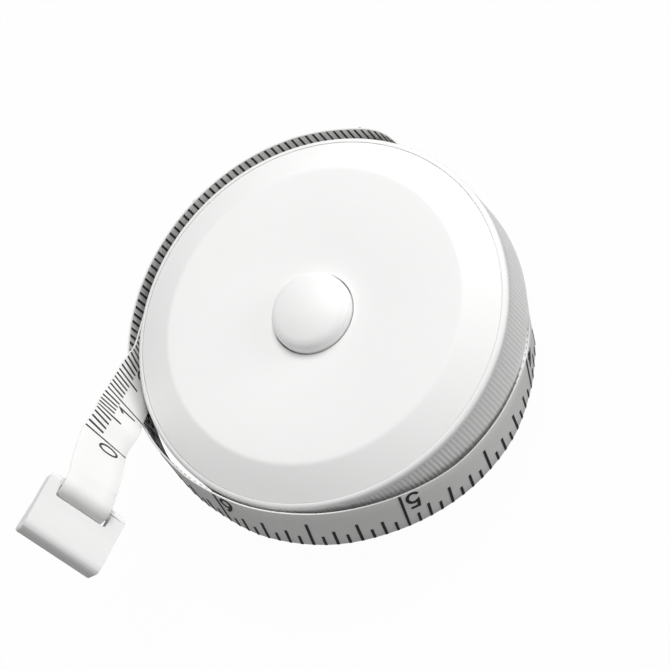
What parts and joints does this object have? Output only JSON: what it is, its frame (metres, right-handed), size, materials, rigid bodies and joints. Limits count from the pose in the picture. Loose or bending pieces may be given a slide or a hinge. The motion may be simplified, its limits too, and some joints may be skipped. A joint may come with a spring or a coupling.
{
  "type": "retractable tape measure",
  "caption": "Round push-button tape measure: white ribbed case, spring-wound reel, and a printed tape drawn out in a loose turn round the case to its pull tab.",
  "frame": {"origin": "on the axis of the case, in the plane of the rear face that it rests on", "axes": "+Z out of the front face towards the button; +X to the right of the pictured view; -Y to its viewer"},
  "size_m": [0.0708, 0.055, 0.0388],
  "materials": {
    "case": "satin white",
    "button": "glossy white",
    "tab": "satin white",
    "tape": "coated, printed black",
    "inner": "moulded",
    "brake": "matte",
    "spring": "spring steel"
  },
  "bodies": {
    "case": {"front_shell": "case", "rear_shell": "case", "front_face_disc": "case", "rear_face_disc": "case", "spring_arbor": "inner", "mainspring": "spring", "button_spring": "spring", "tape_exit": "tape"},
    "button": {"button": "button", "brake_plate": "inner", "brake_ring": "brake"},
    "reel": {"reel": "inner", "tape_coil": "tape", "tape_outer_turn": "tape"},
    "wrap": {"tape_wrap": "tape", "tape_free_end": "tape"},
    "tab": {"end_tab": "tab"}
  },
  "joints": [
    {"name": "button_press", "type": "slide", "parent": "case", "child": "button", "axis": [0, 0, -1], "range_m": [0, 0.0013], "stiffness_N_per_m": 400, "springref_m": -0.001, "deforming": ["button_spring"]},
    {"name": "reel_spin", "type": "hinge", "parent": "case", "child": "reel", "pos_m": [0, 0, 0.011], "axis": [0, 0, 1], "range_deg": [-17, 17], "deforming": ["mainspring"]},
    {"name": "tape_payout", "type": "hinge", "parent": "case", "child": "wrap", "pos_m": [0, 0, 0.011], "axis": [0, 0, 1], "range_deg": [-12, 12], "deforming": ["tape_exit"]},
    {"name": "tab_swivel", "type": "hinge", "parent": "wrap", "child": "tab", "pos_m": [-0.03632, -0.0043, 0.03252], "axis": [0.1564, -0.6813, -0.7151], "range_deg": [-60, 60]}
  ],
  "couplings": [
    {"joint": "tape_payout", "follows": "reel_spin", "ratio": 0.687}
  ]
}
